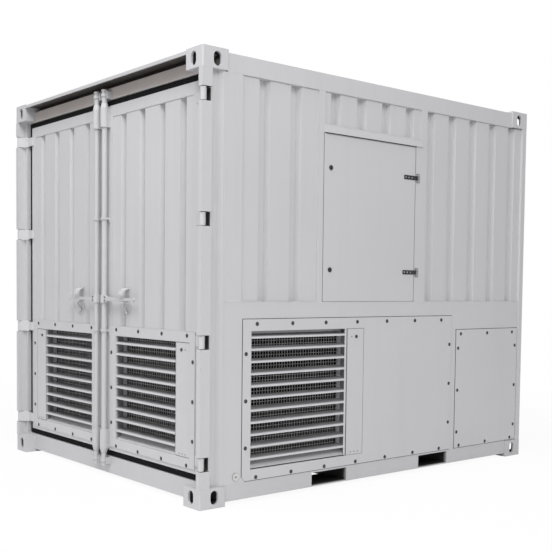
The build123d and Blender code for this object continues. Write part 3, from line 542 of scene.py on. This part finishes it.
class LOADBANK_OT_finishes(bpy.types.Operator):
    """Give every CAD node its finish"""
    bl_idname = "loadbank.finishes"
    bl_label = "Finishes"

    def execute(self, context):
        colours = context.scene.loadbank_paint
        wall = colours.wall
        base_coat = tuple(x * 0.97 for x in wall)
        rubber = tuple(x * 0.5 for x in colours.rubber)
        by_slot = {
            "container_paint": paint("Wall enamel", wall, bevel=3 * MM),
            "louvre_paint": paint("Louvre enamel", wall, 0.36, 0.2, 3 * MM),
            "gear_paint": paint("Door gear enamel", colours.gear, 0.38, 0.15, 1.2 * MM),
            "casting_paint": casting_finish("Casting enamel", base_coat),
            "base_paint": paint("Base rail enamel", base_coat, 0.4, 0.15),
            "cabinet_paint": paint("Cabinet powder coat", (0.52, 0.53, 0.53), 0.5, 0.0),
            "motor_paint": paint("Motor enamel", colours.motor, 0.4, 0.1),
            "gasket_rubber": dull("Door seal rubber", rubber, 0.8, shine=0.15),
            "latch_black": dull("Latch black", (0.03, 0.03, 0.032), 0.42),
            "screen_steel": paint("Screen frame enamel", wall, 0.45, 0.0, 0.6 * MM),
            "hinge_steel": metal("Hinge steel", (0.13, 0.13, 0.135), 0.26, (1, 1, 6)),
            "pin_steel": metal("Hinge pin steel", (0.35, 0.35, 0.36), 0.35, (1, 1, 8)),
            "stainless": metal("Earth boss stainless", (0.72, 0.72, 0.71), 0.25),
            "galvanised": metal("Galvanised sheet", (0.42, 0.44, 0.45), 0.45, spangle=0.7),
            "impeller_alloy": metal("Cast impeller alloy", (0.66, 0.67, 0.68), 0.42),
            "element_steel": element_finish(),
            "busbar_brass": metal("Busbar copper", (0.80, 0.42, 0.22), 0.3, (1, 1, 12)),
        }
        # rear colours of painted shade: blades darken behind their lips, screens and fork pockets inside
        # their recesses
        shade = tuple(x * 0.42 for x in wall)
        dim = (0.07, 0.07, 0.07)
        side_front = span("side_louvre_blades")[1][0]
        door_front = -span("right_door_louvre_blades")[0][1]
        pocket_front = span("fork_pockets")[1][0]
        blade_depth = (3 * MM, 16 * MM)
        by_node = {
            "door_end_rails": header_finish("Header enamel", wall),
            "floor_plate": dull("Floor coating", (0.045, 0.044, 0.043), 0.75, 140.0),
            # the hinge notches in the posts get painted shade
            "corner_posts": paint("Post enamel", wall, bevel=3 * MM, painted_shade=hinge_notches),
            "control_panel": panel_finish("Control plate", (0.50, 0.51, 0.51), (0.035, 0.035, 0.038)),
            "side_louvre_blades": set_back_finish(
                "Side blade enamel", wall, shade, 0, side_front, blade_depth),
            "side_louvre_screens": set_back_finish(
                "Side screen enamel", wall, dim, 0, side_front, (70 * MM, 74 * MM)),
            # the fork pockets darken inside as painted shade
            "fork_pockets": set_back_finish(
                "Fork pocket enamel", wall, (0.035, 0.033, 0.031), 0, pocket_front, (3 * MM, 30 * MM), 0.5),
            "control_hinges": metal("Polished hinge steel", (0.62, 0.62, 0.61), 0.2, (1, 1, 6)),
        }
        blades = set_back_finish("Door blade enamel", wall, shade, 1, door_front, blade_depth)
        screens = set_back_finish("Door screen enamel", wall, dim, 1, door_front, (86 * MM, 89 * MM))
        for side in DOORS:
            by_node[side + "_door_louvre_blades"] = blades
            by_node[side + "_door_louvre_screen"] = screens
        slots = {p["node"]: p["material_slot"] for p in frame["record"]["subparts"]}
        for name, obj in NODES.items():
            obj.data.materials.clear()
            obj.data.materials.append(by_node.get(name, by_slot[slots[name]]))
        return {"FINISHED"}


def dress(obj, material):
    """Give a piece made here its one material."""
    obj.data.materials.append(material)


class LOADBANK_OT_side_bolts(bpy.types.Operator):
    """Put the flange bolts round the long louvre panels and the access panel"""
    bl_idname = "loadbank.side_bolts"
    bl_label = "Side panel bolts"

    def execute(self, context):
        sizes = context.scene.loadbank_fastener
        black = dull("Bolt black", context.scene.loadbank_paint.bolt, 0.26)
        shape, faces = dome_bolt(sizes)
        low, high = span("right_louvre_panel")
        top, foot = high[2] - 28 * MM, low[2] + 16 * MM
        along = rows(low[1] + 104 * MM, sizes.side_pitch, 7)
        up = rows(low[2] + 194 * MM, sizes.column_pitch, 3)
        spots = [(y, z) for z in (foot, top) for y in along]
        spots += [(y, z) for y in (low[1] + 24 * MM, high[1] - 20 * MM) for z in up]
        a_low, a_high = span("right_access_panel")
        extra = [(y, z) for z in (a_low[2] + 16 * MM, a_high[2] - 30 * MM)
                 for y in rows(a_low[1] + 50 * MM, ACCESS_PITCH, 3)]
        extra += [(y, z) for y in (a_low[1] + 22 * MM, a_high[1] - 24 * MM)
                  for z in rows(a_low[2] + 114 * MM, ACCESS_PITCH, 3)]
        right = np.array([(high[0], y, z) for y, z in spots + extra])
        left = np.array([(-high[0], y, z) for y, z in spots])
        for name, places, axis in (("right_side_bolts", right, (1, 0, 0)),
                                   ("left_side_bolts", left, (-1, 0, 0))):
            verts, every = repeat(facing(shape, axis), faces, places)
            dress(put(name, verts, every, "frame", "latch_black"), black)
        return {"FINISHED"}


class LOADBANK_OT_door_bolts(bpy.types.Operator):
    """Put the flange bolts round each door's louvre frame"""
    bl_idname = "loadbank.door_bolts"
    bl_label = "Door bolts"

    def execute(self, context):
        sizes = context.scene.loadbank_fastener
        black = dull("Door bolt black", context.scene.loadbank_paint.bolt, 0.26)
        shape, faces = dome_bolt(sizes)
        for side, sign in zip(DOORS, (1, -1)):
            low, high = span(side + "_door_louvre_frame")
            inner = min(abs(low[0]), abs(high[0]))
            outer = max(abs(low[0]), abs(high[0]))
            across = sign * rows(inner + 87 * MM, sizes.door_pitch, 4)
            up = rows(low[2] + 162 * MM, DOOR_COLUMN_PITCH, 3)
            spots = [(x, z) for z in (low[2] + 14 * MM, high[2] - 22 * MM) for x in across]
            spots += [(sign * x, z) for x in (inner + 24 * MM, outer - 22 * MM) for z in up]
            places = [(x, low[1], z) for x, z in spots]
            verts, every = repeat(facing(shape, (0, -1, 0)), faces, places)
            dress(put(side + "_door_bolts", verts, every, side + "_door", "latch_black"), black)
        return {"FINISHED"}


def wire_grid(u_range, v_range, pitch, wire):
    """Low and high corners of crossing wires in a plane, as (u, v, depth) boxes."""
    u0, u1, v0, v1 = *u_range, *v_range
    half = wire / 2
    u = np.arange(u0 + pitch, u1 - pitch / 2, pitch)
    v = np.arange(v0 + pitch, v1 - pitch / 2, pitch)
    upright_low = np.stack([u - half, np.full_like(u, v0), np.full_like(u, 0)], -1)
    upright_high = np.stack([u + half, np.full_like(u, v1), np.full_like(u, wire)], -1)
    cross_low = np.stack([np.full_like(v, u0), v - half, np.full_like(v, wire)], -1)
    cross_high = np.stack([np.full_like(v, u1), v + half, np.full_like(v, 2 * wire)], -1)
    return np.vstack([upright_low, cross_low]), np.vstack([upright_high, cross_high])


class LOADBANK_OT_wire_screens(bpy.types.Operator):
    """Weave the square wire mesh behind every louvre"""
    bl_idname = "loadbank.wire_screens"
    bl_label = "Wire screens"

    def execute(self, context):
        sizes = context.scene.loadbank_screen
        edge = 18 * MM
        zinc = dull("Screen wire zinc", (0.34, 0.34, 0.335), 0.5, 60.0)
        low, high = span("side_louvre_screens")
        depth = high[0] - 22 * MM
        lo, hi = wire_grid((low[1] + edge, high[1] - edge), (low[2] + edge, high[2] - edge),
                           sizes.mesh_pitch, sizes.wire)
        for name, sign in (("right_side_wires", 1), ("left_side_wires", -1)):
            x0, x1 = sign * (depth + lo[:, 2]), sign * (depth + hi[:, 2])
            a = np.stack([np.minimum(x0, x1), lo[:, 0], lo[:, 1]], -1)
            b = np.stack([np.maximum(x0, x1), hi[:, 0], hi[:, 1]], -1)
            verts, faces = bars(a, b)
            dress(put(name, verts, faces, "frame", "screen_steel"), zinc)
        for side in DOORS:
            low, high = span(side + "_door_louvre_screen")
            lo, hi = wire_grid((low[0] + edge, high[0] - edge), (low[2] + edge, high[2] - edge),
                               sizes.mesh_pitch, sizes.wire)
            y = high[1] - 9 * MM
            a = np.stack([lo[:, 0], y + lo[:, 2], lo[:, 1]], -1)
            b = np.stack([hi[:, 0], y + hi[:, 2], hi[:, 1]], -1)
            verts, faces = bars(a, b)
            dress(put(side + "_door_wires", verts, faces, side + "_door", "screen_steel"), zinc)
        return {"FINISHED"}


def box_ring(low, high, width):
    """Four boxes just outside a rectangle, as (u, v) low and high corners."""
    (u0, v0), (u1, v1) = low, high
    lows = [(u0 - width, v0 - width), (u0 - width, v1), (u0 - width, v0), (u1, v0)]
    highs = [(u1 + width, v0), (u1 + width, v1 + width), (u0, v1), (u1 + width, v1)]
    return np.array(lows), np.array(highs)


def sill_slope(front, back, low):
    """Outline of a sloped sill of 2.5 mm sheet that rises 34 mm from its front edge to its back."""
    foot = low + 0.3 * MM
    return [(front, foot), (back, foot + 34 * MM), (back, foot + 36.5 * MM), (front, foot + 2.5 * MM)]


class LOADBANK_OT_louvre_sills(bpy.types.Operator):
    """Bend a sloped drip sill into the foot of every louvre opening"""
    bl_idname = "loadbank.louvre_sills"
    bl_label = "Louvre sills"

    def execute(self, context):
        coat = paint("Sill enamel", context.scene.loadbank_paint.wall, 0.36, 0.2, 0.0008)
        end_gap = 3.4 * MM
        low, high = span("side_louvre_blades")
        slope = sill_slope(high[0] - 6 * MM, high[0] - 50 * MM, low[2])
        for name, sign in (("right_side_sill", 1), ("left_side_sill", -1)):
            outline = [(sign * x, z) for x, z in slope][::sign]
            verts, faces = prism(outline, low[1] + end_gap, high[1] - end_gap, [1, 0, 2])
            dress(put(name, verts, faces, "frame", "louvre_paint"), coat)
        for side in DOORS:
            low, high = span(side + "_door_louvre_blades")
            slope = sill_slope(low[1] + 6 * MM, high[1] - 3 * MM, low[2])
            verts, faces = prism(slope, low[0] + end_gap, high[0] - end_gap, [0, 1, 2])
            dress(put(side + "_door_sill", verts, faces, side + "_door", "louvre_paint"), coat)
        return {"FINISHED"}


class LOADBANK_OT_panel_seals(bpy.types.Operator):
    """Show the edge of the black sealing strip round every bolted plate and cover, whose black also stands
    in as painted shadow in the edge gaps
    """
    bl_idname = "loadbank.panel_seals"
    bl_label = "Panel seals"

    def execute(self, context):
        # seal black, which also serves as painted shadow in the gaps round the plates
        black = dull("Panel seal", (0.02, 0.02, 0.021), 0.75)
        for node, width in (("right_louvre_panel", 3.2), ("left_louvre_panel", 3.2),
                            ("right_access_panel", 3.2), ("right_louvre_cover", 3.0)):
            low, high = span(node)
            sign = 1 if high[0] > 0 else -1
            base = min(abs(low[0]), abs(high[0]))
            u, v = box_ring(low[1:], high[1:], width * MM)
            if "louvre_panel" in node:
                # the panel's lower corner at the door end is cut off, so two strips stop short of it
                u[0, 0] = u[2, 0] + 24 * MM
                u[2, 1] += 24 * MM
            xs = sorted((sign * (base + 0.1 * MM), sign * (base + 1.4 * MM)))
            a = np.column_stack([np.full(4, xs[0]), u])
            b = np.column_stack([np.full(4, xs[1]), v])
            dress(put(node + "_seal", *bars(a, b), "frame", "gasket_rubber"), black)
        for side in DOORS:
            low, high = span(side + "_door_louvre_cover")
            u, v = box_ring(low[[0, 2]], high[[0, 2]], 2.6 * MM)
            a = np.column_stack([u[:, 0], np.full(4, high[1] - 1.4 * MM), u[:, 1]])
            b = np.column_stack([v[:, 0], np.full(4, high[1] - 0.1 * MM), v[:, 1]])
            dress(put(side + "_cover_seal", *bars(a, b), side + "_door", "gasket_rubber"), black)
        low, high = span("control_door")
        u, v = box_ring(low[1:] - 0.5 * MM, high[1:] + 0.5 * MM, 3.2 * MM)
        a = np.column_stack([np.full(4, high[0] - 9 * MM), u])
        b = np.column_stack([np.full(4, high[0] - 0.6 * MM), v])
        # the strip over the door stands out to fill the gap under the drip rail, as a painted shadow of the
        # drip
        b[1, 0] = high[0] + 7.4 * MM
        a[1, 1], b[1, 1] = low[1] + 8 * MM, high[1] + 3.7 * MM
        dress(put("control_door_seal", *bars(a, b), "frame", "gasket_rubber"), black)
        return {"FINISHED"}


class LOADBANK_OT_inner_lining(bpy.types.Operator):
    """Line the rear and left inner walls with near-black sheets as painted shade, and stand a baffle of the
    same at the left louvre
    """
    bl_idname = "loadbank.inner_lining"
    bl_label = "Inner lining"

    def execute(self, context):
        # near-black lining that stands in for the shade inside the body
        shading = dull("Black foam lining", (0.010, 0.010, 0.011), 0.9, 60.0, 0.1)
        low, high = span("floor_plate")
        louvre_low, louvre_high = span("side_louvre_screens")
        wall, top = low[0] - 6 * MM, louvre_high[2] + 160 * MM
        inner = wall + 16 * MM
        back = high[1] - 8 * MM
        y0, y1 = louvre_low[1] - 6 * MM, louvre_high[1] + 6 * MM
        z0, z1 = louvre_low[2] - 6 * MM, louvre_high[2] + 6 * MM
        foot = high[2] + 1 * MM
        # rear wall, left wall before and behind the louvre, and left wall under and over it
        lows = [(inner, back - 18 * MM, foot), (wall, low[1] + 20 * MM, foot), (wall, y1, foot),
                (wall, y0, foot), (wall, y0, z1)]
        highs = [(-inner, back, top), (inner, y0, top), (inner, back, top),
                 (inner, y1, z0), (inner, y1, top)]
        dress(put("inner_lining", *bars(lows, highs), "frame", "gasket_rubber"), shading)
        # the baffle stands off the wall on four studs
        stand = inner + 96 * MM
        lows = [(stand, y0 - 110 * MM, foot)]
        highs = [(stand + 22 * MM, y1 + 240 * MM, z1 + 60 * MM)]
        for y in (y0 - 60 * MM, y1 + 40 * MM):
            for z in (z0 + 60 * MM, z1 - 60 * MM):
                lows.append((inner, y, z))
                highs.append((stand, y + 20 * MM, z + 20 * MM))
        dress(put("left_inlet_baffle", *bars(lows, highs), "frame", "gasket_rubber"), shading)
        return {"FINISHED"}


def small_head(radius, height, sides=16):
    """A low button head: flat face with a rounded rim."""
    return lathe([(0, 0), (radius, 0), (radius, 0.6 * height),
                  (0.86 * radius, height), (0, height)], sides)


class LOADBANK_OT_cover_fixings(bpy.types.Operator):
    """Add the quarter-turn stud, sight hole and rivets of each louvre cover plate"""
    bl_idname = "loadbank.cover_fixings"
    bl_label = "Cover plate fixings"

    def execute(self, context):
        black = dull("Cover stud black", (0.03, 0.03, 0.032), 0.4)
        grey = metal("Cover rivet steel", (0.35, 0.35, 0.36), 0.4)
        low, high = span("right_louvre_cover")
        middle = (low[1] + high[1]) / 2
        stud = facing(small_head(11 * MM, 4 * MM)[0], (1, 0, 0))
        # the sight hole is a thin black disc: painted shade in place of an open hole
        hole = facing(small_head(4 * MM, 0.4 * MM)[0], (1, 0, 0))
        rivet = facing(small_head(4.5 * MM, 1.5 * MM)[0], (1, 0, 0))
        faces = small_head(1, 1)[1]
        top = high[2] - 50 * MM
        shapes = [(stud + [high[0], middle + 6 * MM, top], faces),
                  (hole + [high[0], middle - 34 * MM, top], faces)]
        dress(put("right_cover_stud", *join(shapes), "frame", "latch_black"), black)
        places = [(high[0], middle + d * MM, low[2] + 18 * MM) for d in (-32, 0, 32)]
        dress(put("right_cover_rivets", *repeat(rivet, faces, places), "frame", "pin_steel"), grey)
        stud = facing(small_head(10 * MM, 5 * MM)[0], (0, -1, 0))
        # the sight hole is a thin black disc: painted shade in place of an open hole
        hole = facing(small_head(4 * MM, 0.4 * MM)[0], (0, -1, 0))
        rivet = facing(small_head(4.5 * MM, 1.5 * MM)[0], (0, -1, 0))
        for side, sign in zip(DOORS, (1, -1)):
            low, high = span(side + "_door_louvre_cover")
            middle = (low[0] + high[0]) / 2
            top = high[2] - 42 * MM
            shapes = [(stud + [middle - sign * 12 * MM, low[1], top], faces),
                      (hole + [middle + sign * 26 * MM, low[1], top], faces)]
            body = side + "_door"
            dress(put(side + "_cover_stud", *join(shapes), body, "latch_black"), black)
            places = [(middle + d * MM, low[1], low[2] + 14 * MM) for d in (-32, 0, 32)]
            rivets = repeat(rivet, faces, places)
            dress(put(side + "_cover_rivets", *rivets, body, "pin_steel"), grey)
        return {"FINISHED"}


class LOADBANK_OT_hatch_fixings(bpy.types.Operator):
    """Screw the control door's two hinges to the door and to the frame"""
    bl_idname = "loadbank.hatch_fixings"
    bl_label = "Control door fixings"

    def execute(self, context):
        steel = metal("Hinge screw steel", (0.62, 0.62, 0.62), 0.3)
        shape, faces = small_head(5 * MM, 2.2 * MM)
        head = facing(shape, (1, 0, 0))
        for node, body, reach in (("control_door_straps", "control_door", (14, 44, 74)),
                                  ("control_hinges", "frame", (-9,))):
            low, high = span(node)
            start = low[1] if body == "control_door" else high[1]
            face = span("control_door")[1][0] + (3.5 if body == "control_door" else 3.0) * MM
            spots = []
            for z in hatch_hinges():
                if body == "control_door":
                    spots += [(face, start + d * MM, z) for d in reach]
                else:
                    spots += [(face, start + d * MM, z + k * MM) for d in reach for k in (-20, 20)]
            dress(put(body + "_hinge_screws", *repeat(head, faces, spots), body, "pin_steel"), steel)
        return {"FINISHED"}


def hatch_hinges():
    """Middle heights of the two hinges, from the height that their straps span together."""
    low, high = span("control_door_straps")
    half = 14.6 * MM
    return low[2] + half, high[2] - half


class LOADBANK_OT_handle_catches(bpy.types.Operator):
    """Bend the S-shaped catch and the seal ring at each handle retainer"""
    bl_idname = "loadbank.handle_catches"
    bl_label = "Handle catches"

    def execute(self, context):
        for side, sign in zip(DOORS, (1, -1)):
            low, high = span(side + "_bar_handle")
            grey = metal(side.title() + " catch steel", (0.55, 0.55, 0.55), 0.4)
            x = sign * CATCH_X
            face = span(side + "_door_frame")[0][1]
            t = np.linspace(0, 1, 26)
            z = low[2] + 6 * MM - 78 * MM * t
            y = face - 20 * MM - 12 * MM * np.sin(2 * np.pi * t)
            path = np.stack([np.full_like(t, x), y, z], -1)
            a = np.linspace(0, 2 * np.pi * 0.94, 24)
            ring = np.stack([x + 13 * MM * np.cos(a), np.full_like(a, face - 20 * MM),
                             z[-1] - 8 * MM + 13 * MM * np.sin(a)], -1)
            shapes = [tube(path, 4 * MM, 10), tube(ring, 2.6 * MM, 8)]
            catch = put(side + "_handle_catch", *join(shapes), side + "_door", "pin_steel", True)
            dress(catch, grey)
            hub_x = low[0] + 25 * MM if sign > 0 else high[0] - 25 * MM
            hub_z = (low[2] + high[2]) / 2
            shape, faces = small_head(5.5 * MM, 2.5 * MM)
            places = [(hub_x + sign * 30 * MM, low[1] + 9.8 * MM, hub_z + k * MM) for k in (-11, 11)]
            rivets = repeat(facing(shape, (0, -1, 0)), faces, places)
            dark = dull(side.title() + " hub rivet black", (0.03, 0.03, 0.032), 0.4)
            dress(put(side + "_hub_rivets", *rivets, side + "_lock_bar", "latch_black"), dark)
        return {"FINISHED"}


class LOADBANK_OT_weld_beads(bpy.types.Operator):
    """Run thin weld beads along the seams of the walls"""
    bl_idname = "loadbank.weld_beads"
    bl_label = "Weld beads"

    def execute(self, context):
        coat = paint("Weld enamel", context.scene.loadbank_paint.wall, 0.35, 0.2, 0.0)
        low, high = span("right_wall")
        x = span("lower_side_frames")[1][0]
        steps = 120
        t = np.linspace(0, 1, steps)[:, None]
        ripple = 0.2 * MM * np.sin(np.arange(steps) * 1.9)
        seams = (((x, low[1] + 3 * MM, low[2]), (x, high[1] - 3 * MM, low[2])),
                 ((x, low[1], low[2] + 2 * MM), (x, low[1], high[2] - 2 * MM)))
        shapes = []
        for sign in (1, -1):
            for start, end in seams:
                path = np.array(start) * (1 - t) + np.array(end) * t
                path[:, 0] = sign * (path[:, 0] - 1.0 * MM + ripple)
                shapes.append(tube(path, 2.2 * MM, 8))
        dress(put("wall_weld_beads", *join(shapes), "frame", "container_paint", True), coat)
        return {"FINISHED"}


class LOADBANK_OT_studio(bpy.types.Operator):
    """Set the pale floor, the soft lights and the camera"""
    bl_idname = "loadbank.studio"
    bl_label = "Studio"

    def execute(self, context):
        v = context.scene.loadbank_studio
        scene = context.scene
        scene.view_settings.view_transform = "Standard"
        floor_mesh = bpy.data.meshes.new("floor")
        r = FLOOR_REACH
        floor_mesh.from_pydata([(-r, -r, 0), (r, -r, 0), (r, r, 0), (-r, r, 0)], [], [(0, 1, 2, 3)])
        floor = bpy.data.objects.new("floor", floor_mesh)
        context.collection.objects.link(floor)
        s = Shader("Pale floor")
        lit = s.node("ShaderNodeBsdfDiffuse", {}, {"Color": (0.86, 0.86, 0.86, 1)})
        glow = s.node("ShaderNodeEmission", {}, {"Color": (1, 1, 1, 1), "Strength": 1.0})
        ray = s.node("ShaderNodeLightPath", {}, {}, "Is Camera Ray")
        glossy = s.node("ShaderNodeLightPath", {}, {}, "Is Glossy Ray")
        spot = s.node("ShaderNodeTexCoord", {}, {}, "Object")
        reach = s.node("ShaderNodeVectorMath", {"operation": "LENGTH"}, {0: spot}, 1)
        share = (ray * (reach.ramp(2.5, 6.0) * 0.06 + 0.94) + glossy * 0.3).clamp()
        both = s.node("ShaderNodeMixShader", {}, {0: share, 1: lit, 2: glow})
        s.tree.links.new(both.socket, s.output.inputs["Surface"])
        floor.data.materials.append(s.material)
        world = bpy.data.worlds.new("studio sky")
        world.use_nodes = True
        tree = world.node_tree
        tree.nodes.clear()
        out = tree.nodes.new("ShaderNodeOutputWorld")
        soft = tree.nodes.new("ShaderNodeBackground")
        soft.inputs["Strength"].default_value = v.sky
        white = tree.nodes.new("ShaderNodeBackground")
        white.inputs["Color"].default_value = (1, 1, 1, 1)
        soft.inputs["Color"].default_value = (0.99, 0.985, 1.0, 1)
        path = tree.nodes.new("ShaderNodeLightPath")
        mix = tree.nodes.new("ShaderNodeMixShader")
        tree.links.new(path.outputs["Is Camera Ray"], mix.inputs[0])
        tree.links.new(soft.outputs[0], mix.inputs[1])
        tree.links.new(white.outputs[0], mix.inputs[2])
        tree.links.new(mix.outputs[0], out.inputs[0])
        scene.world = world
        for name, place, size, power in (
                ("key light", (6.2, -3.6, 6.6), 4.0, v.key),
                ("door light", (1.2, -5.0, 8.6), 3.5, v.door),
                ("top light", (0.0, 0.0, 8.0), 6.0, v.top)):
            lamp = bpy.data.lights.new(name, "AREA")
            lamp.shape, lamp.size, lamp.energy = "SQUARE", size, power
            obj = bpy.data.objects.new(name, lamp)
            context.collection.objects.link(obj)
            obj.location = place
            aim = Vector((0, 0, 1.2)) - Vector(place)
            obj.rotation_euler = aim.to_track_quat("-Z", "Y").to_euler()
        az, el, roll = v.azimuth, v.elevation, v.roll
        back = Vector((math.sin(az) * math.cos(el), -math.cos(az) * math.cos(el), math.sin(el)))
        right = (-back).cross(Vector((0, 0, 1))).normalized()
        up = right.cross(-back)
        side = right * math.cos(roll) + up * math.sin(roll)
        head = up * math.cos(roll) - right * math.sin(roll)
        lens = bpy.data.cameras.new("camera")
        lens.lens, lens.sensor_width = v.lens, 36.0
        lens.shift_x, lens.shift_y = v.shift
        lens.clip_end = 200
        camera = bpy.data.objects.new("camera", lens)
        context.collection.objects.link(camera)
        turn = Matrix((side, head, back)).transposed().to_4x4()
        camera.matrix_world = Matrix.Translation(Vector(v.place)) @ turn
        scene.camera = camera
        return {"FINISHED"}


OPERATORS = (
    LOADBANK_OT_finishes, LOADBANK_OT_side_bolts, LOADBANK_OT_door_bolts,
    LOADBANK_OT_wire_screens, LOADBANK_OT_louvre_sills, LOADBANK_OT_panel_seals,
    LOADBANK_OT_inner_lining, LOADBANK_OT_cover_fixings, LOADBANK_OT_hatch_fixings,
    LOADBANK_OT_handle_catches, LOADBANK_OT_weld_beads, LOADBANK_OT_studio,
)
GROUPS = {
    "loadbank_paint": PaintColours, "loadbank_fastener": FastenerSizes,
    "loadbank_screen": ScreenSizes, "loadbank_studio": StudioValues,
}


class LOADBANK_PT_panel(bpy.types.Panel):
    """Lists the steps that dress the load bank"""
    bl_idname = "LOADBANK_PT_panel"
    bl_label = "Load bank"
    bl_space_type = "VIEW_3D"
    bl_region_type = "UI"
    bl_category = "Load bank"

    def draw(self, context):
        for step in OPERATORS:
            self.layout.operator(step.bl_idname)


def register():
    for group in GROUPS.values():
        bpy.utils.register_class(group)
    for step in OPERATORS:
        bpy.utils.register_class(step)
    bpy.utils.register_class(LOADBANK_PT_panel)
    for name, group in GROUPS.items():
        setattr(bpy.types.Scene, name, bpy.props.PointerProperty(type=group))


def unregister():
    for name in GROUPS:
        delattr(bpy.types.Scene, name)
    for one in (LOADBANK_PT_panel, *reversed(OPERATORS), *reversed(list(GROUPS.values()))):
        bpy.utils.unregister_class(one)


def main():
    register()
    for step in OPERATORS:
        group, name = step.bl_idname.split(".")
        getattr(getattr(bpy.ops, group), name)()


if __name__ == "__main__":
    main()
